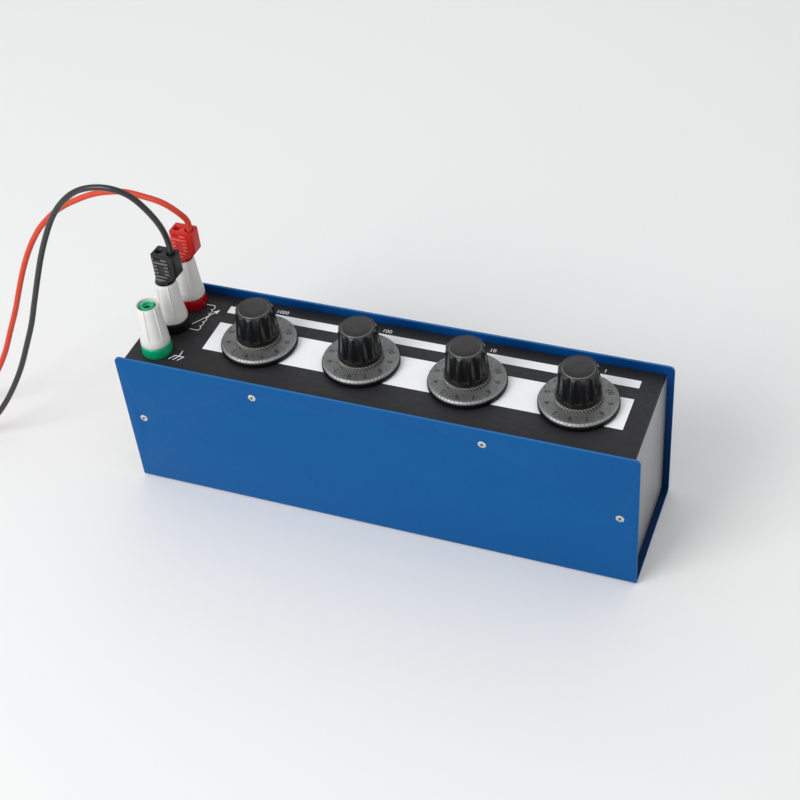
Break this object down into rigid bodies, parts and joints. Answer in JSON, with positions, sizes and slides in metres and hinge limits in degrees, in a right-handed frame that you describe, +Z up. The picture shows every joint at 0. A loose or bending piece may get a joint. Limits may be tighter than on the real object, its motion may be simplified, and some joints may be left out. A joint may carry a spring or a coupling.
{
  "type": "inductance decade box",
  "caption": "Bench box with a row of rotary dials that sum switched inductors, coloured screw terminals and stackable test leads.",
  "frame": {"origin": "middle of the folded cover's base, on the bench", "axes": "+X along the box to the right as one faces the front, +Y from front to back, +Z up out of the panel"},
  "size_m": [0.5893, 0.1373, 0.2057],
  "materials": {
    "blue_paint": "fine texture powder coat",
    "end_wall": "satin",
    "panel_film": "satin printed film",
    "screw_steel": "nickel plated",
    "zinc_steel": "zinc plated",
    "spun_aluminium": "spun, satin",
    "knob_black": "gloss",
    "cap_black": "satin",
    "post_green": "gloss",
    "post_black": "gloss",
    "post_red": "gloss",
    "head_white": "satin gloss",
    "post_metal": "nickel plated",
    "pin_metal": "gold flash",
    "plug_black": "satin",
    "plug_red": "satin",
    "lead_black": "satin silicone",
    "lead_red": "satin silicone",
    "board": "laminate",
    "wafer": "laminate",
    "insulator": "matte",
    "contact_silver": "silver plated",
    "ferrite": "matte ferrite",
    "winding": "enamelled copper wire"
  },
  "bodies": {
    "case": {"outer_cover": "blue_paint", "chassis": "end_wall", "panel_overlay": "panel_film", "cover_screws": "screw_steel", "clinch_nuts": "zinc_steel", "switch_frames": "zinc_steel", "panel_nuts": "zinc_steel", "switch_spacers": "zinc_steel", "switch_wafers": "wafer", "wafer_contacts": "contact_silver", "tie_bolts": "zinc_steel", "coil_board": "board", "board_pillars": "zinc_steel", "board_screws": "zinc_steel", "pot_cores": "ferrite", "coil_windings": "winding", "link_wires": "contact_silver", "post_insulators": "insulator", "post_stems": "post_metal", "post_nuts": "post_metal", "solder_tags": "post_metal", "black_far_plug": "plug_black", "black_coil": "lead_black", "red_far_plug": "plug_red", "red_coil": "lead_red", "far_plug_pins": "pin_metal", "green_collar": "post_green", "black_collar": "post_black", "red_collar": "post_red"},
    "dial_1": {"switch_shaft_1": "zinc_steel", "dial_plate_1": "spun_aluminium", "knob_1": "knob_black", "knob_cap_1": "cap_black"},
    "dial_2": {"switch_shaft_2": "zinc_steel", "dial_plate_2": "spun_aluminium", "knob_2": "knob_black", "knob_cap_2": "cap_black"},
    "dial_3": {"switch_shaft_3": "zinc_steel", "dial_plate_3": "spun_aluminium", "knob_3": "knob_black", "knob_cap_3": "cap_black"},
    "dial_4": {"switch_shaft_4": "zinc_steel", "dial_plate_4": "spun_aluminium", "knob_4": "knob_black", "knob_cap_4": "cap_black"},
    "green_clamp": {"green_clamp_washer": "post_metal"},
    "green_thumb_nut": {"green_head": "head_white", "green_insert": "post_green"},
    "black_clamp": {"black_clamp_washer": "post_metal", "black_lead": "lead_black"},
    "black_thumb_nut": {"black_head": "head_white", "black_insert": "post_black"},
    "black_test_plug": {"black_plug": "plug_black", "black_plug_pin": "pin_metal"},
    "red_clamp": {"red_clamp_washer": "post_metal", "red_lead": "lead_red"},
    "red_thumb_nut": {"red_head": "head_white", "red_insert": "post_red"},
    "red_test_plug": {"red_plug": "plug_red", "red_plug_pin": "pin_metal"}
  },
  "joints": [
    {"name": "dial_1_turn", "type": "hinge", "parent": "case", "child": "dial_1", "pos_m": [-0.08565, 0.001, 0.0964], "axis": [0, 0, -1], "range_deg": [0, 300]},
    {"name": "dial_2_turn", "type": "hinge", "parent": "case", "child": "dial_2", "pos_m": [-0.01775, 0.001, 0.0964], "axis": [0, 0, -1], "range_deg": [0, 300]},
    {"name": "dial_3_turn", "type": "hinge", "parent": "case", "child": "dial_3", "pos_m": [0.05015, 0.001, 0.0964], "axis": [0, 0, -1], "range_deg": [0, 300]},
    {"name": "dial_4_turn", "type": "hinge", "parent": "case", "child": "dial_4", "pos_m": [0.11805, 0.001, 0.0964], "axis": [0, 0, -1], "range_deg": [0, 300]},
    {"name": "green_clamp_lift", "type": "slide", "parent": "case", "child": "green_clamp", "axis": [0, 0, 1], "range_m": [0, 0.0032]},
    {"name": "green_head_turn", "type": "hinge", "parent": "green_clamp", "child": "green_thumb_nut", "pos_m": [-0.14545, -0.0219, 0.0964], "axis": [0, 0, 1], "range_deg": [0, 1440]},
    {"name": "black_clamp_lift", "type": "slide", "parent": "case", "child": "black_clamp", "axis": [0, 0, 1], "range_m": [0, 0.0032]},
    {"name": "black_head_turn", "type": "hinge", "parent": "black_clamp", "child": "black_thumb_nut", "pos_m": [-0.14545, 0.0027, 0.0964], "axis": [0, 0, 1], "range_deg": [0, 1440]},
    {"name": "black_plug_pull", "type": "slide", "parent": "black_clamp", "child": "black_test_plug", "axis": [0, 0, 1], "range_m": [0, 0.019], "deforming": ["black_lead"]},
    {"name": "red_clamp_lift", "type": "slide", "parent": "case", "child": "red_clamp", "axis": [0, 0, 1], "range_m": [0, 0.0032]},
    {"name": "red_head_turn", "type": "hinge", "parent": "red_clamp", "child": "red_thumb_nut", "pos_m": [-0.14545, 0.0273, 0.0964], "axis": [0, 0, 1], "range_deg": [0, 1440]},
    {"name": "red_plug_pull", "type": "slide", "parent": "red_clamp", "child": "red_test_plug", "axis": [0, 0, 1], "range_m": [0, 0.019], "deforming": ["red_lead"]}
  ],
  "couplings": [
    {"joint": "green_clamp_lift", "follows": "green_head_turn", "m_per_rad": 0.00012732},
    {"joint": "black_clamp_lift", "follows": "black_head_turn", "m_per_rad": 0.00012732},
    {"joint": "red_clamp_lift", "follows": "red_head_turn", "m_per_rad": 0.00012732}
  ]
}
